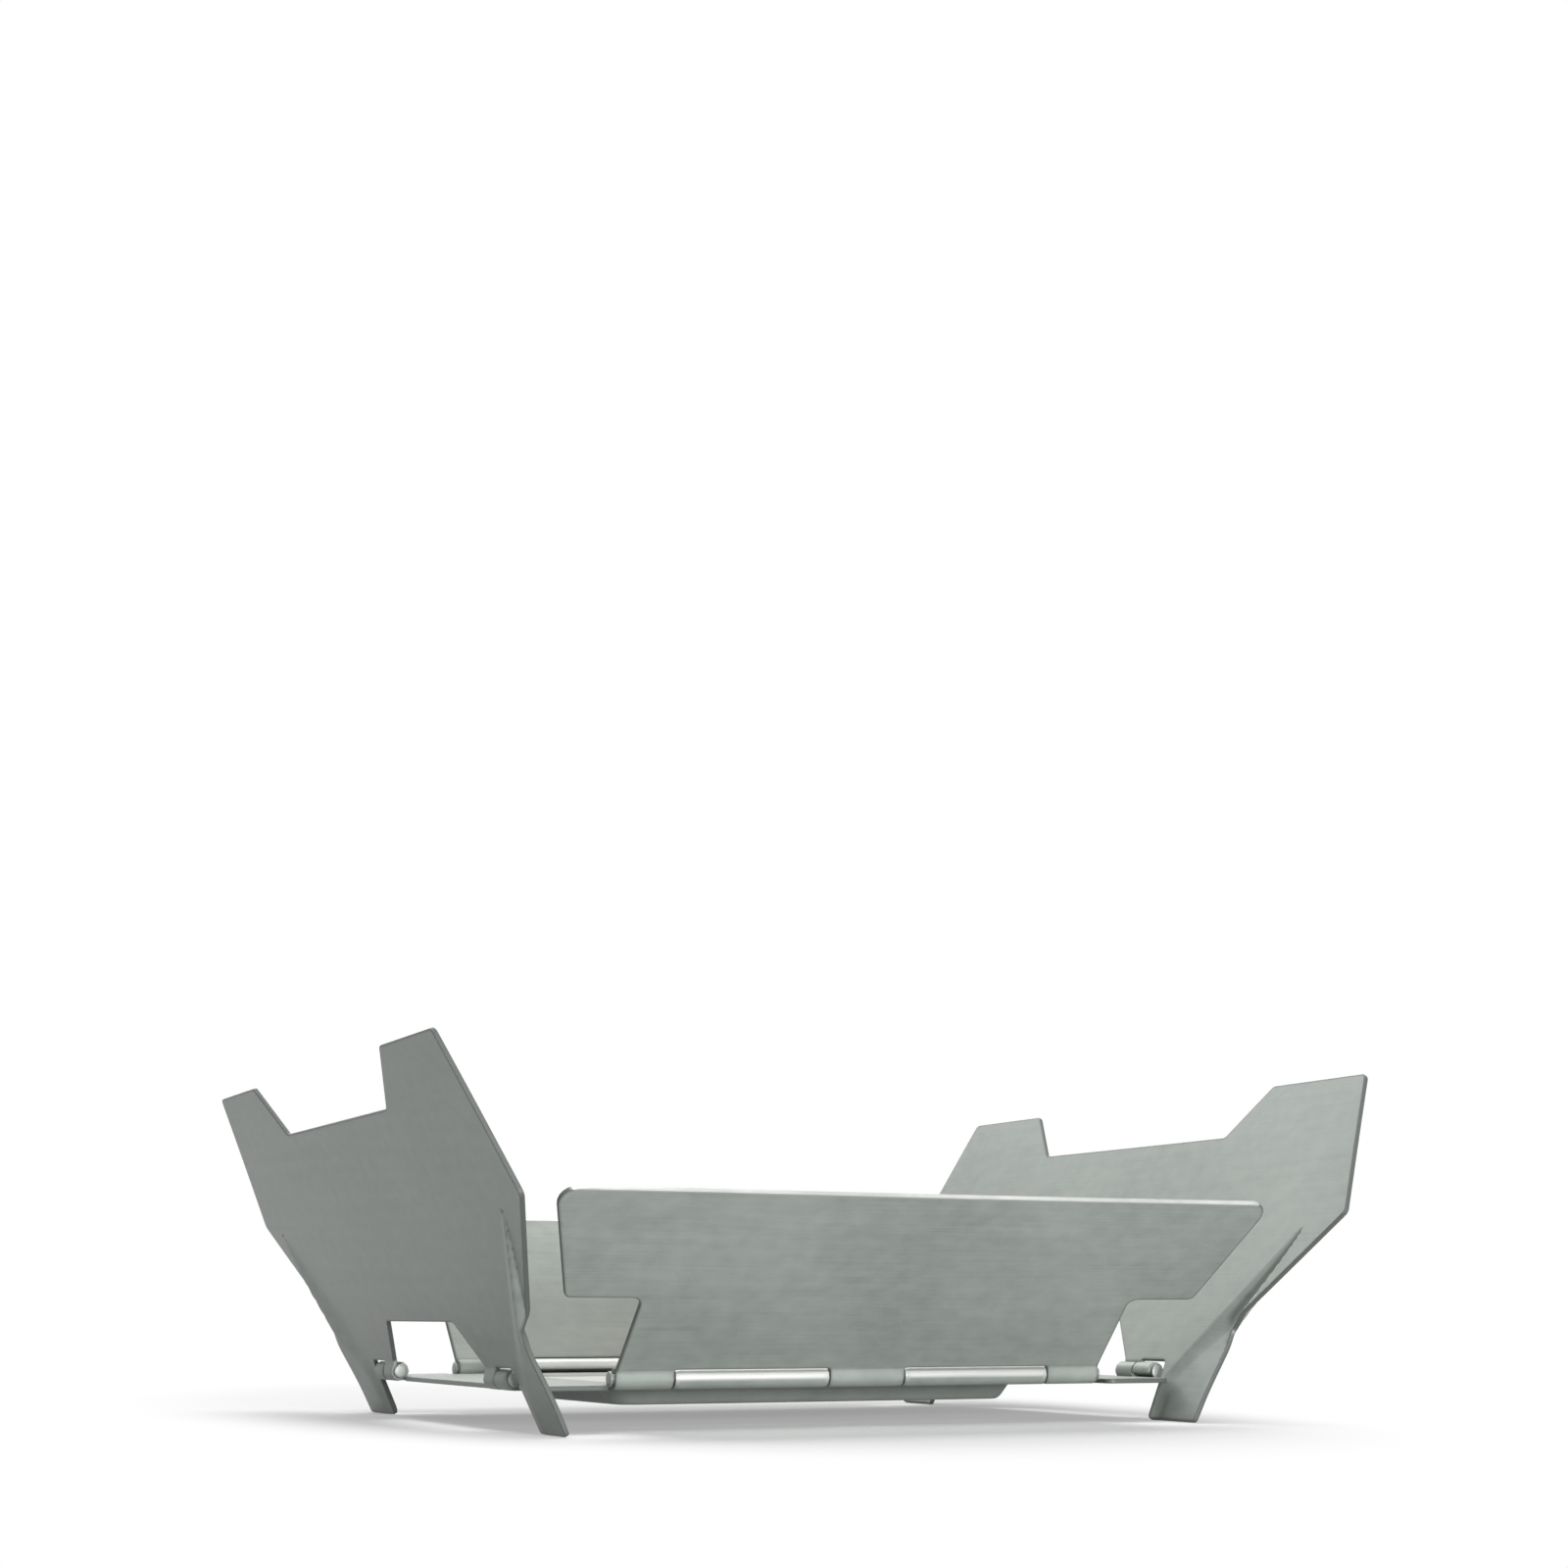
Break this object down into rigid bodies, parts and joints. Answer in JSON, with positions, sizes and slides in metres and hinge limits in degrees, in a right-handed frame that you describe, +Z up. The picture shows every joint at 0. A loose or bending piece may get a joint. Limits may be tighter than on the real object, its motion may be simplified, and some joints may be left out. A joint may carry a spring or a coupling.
{
  "type": "folding pocket stove",
  "caption": "Folding sheet-steel pocket stove: flat base with a fuel well, hinged end wings on legs with pot horns, and hinged side windshields that lean outwards.",
  "frame": {"origin": "on the ground, under the middle of the open stove", "axes": "+X towards the right wing, +Y towards the rear windshield, +Z up"},
  "size_m": [0.125, 0.111, 0.0435],
  "materials": {
    "sheet_steel": "satin zinc-grey sheet",
    "pin_wire": "drawn wire",
    "fuel": "matte pressed powder"
  },
  "bodies": {
    "base": {"base_plate": "sheet_steel", "front_hinge_pin": "pin_wire", "rear_hinge_pin": "pin_wire", "left_front_hinge_pin": "pin_wire", "left_rear_hinge_pin": "pin_wire", "right_front_hinge_pin": "pin_wire", "right_rear_hinge_pin": "pin_wire", "fuel_tablet": "fuel"},
    "left_wing": {"left_wing": "sheet_steel"},
    "right_wing": {"right_wing": "sheet_steel"},
    "front_windshield": {"front_windshield": "sheet_steel"},
    "rear_windshield": {"rear_windshield": "sheet_steel"}
  },
  "joints": [
    {"name": "left_wing_hinge", "type": "hinge", "parent": "base", "child": "left_wing", "pos_m": [-0.044, 0, 0.006], "axis": [0, 1, 0], "range_deg": [0, 11]},
    {"name": "right_wing_hinge", "type": "hinge", "parent": "base", "child": "right_wing", "pos_m": [0.044, 0, 0.006], "axis": [0, -1, 0], "range_deg": [0, 11]},
    {"name": "front_windshield_hinge", "type": "hinge", "parent": "base", "child": "front_windshield", "pos_m": [0, -0.0292, 0.006], "axis": [-1, 0, 0], "range_deg": [0, 132.8]},
    {"name": "rear_windshield_hinge", "type": "hinge", "parent": "base", "child": "rear_windshield", "pos_m": [0, 0.0292, 0.006], "axis": [1, 0, 0], "range_deg": [0, 132.8]}
  ]
}
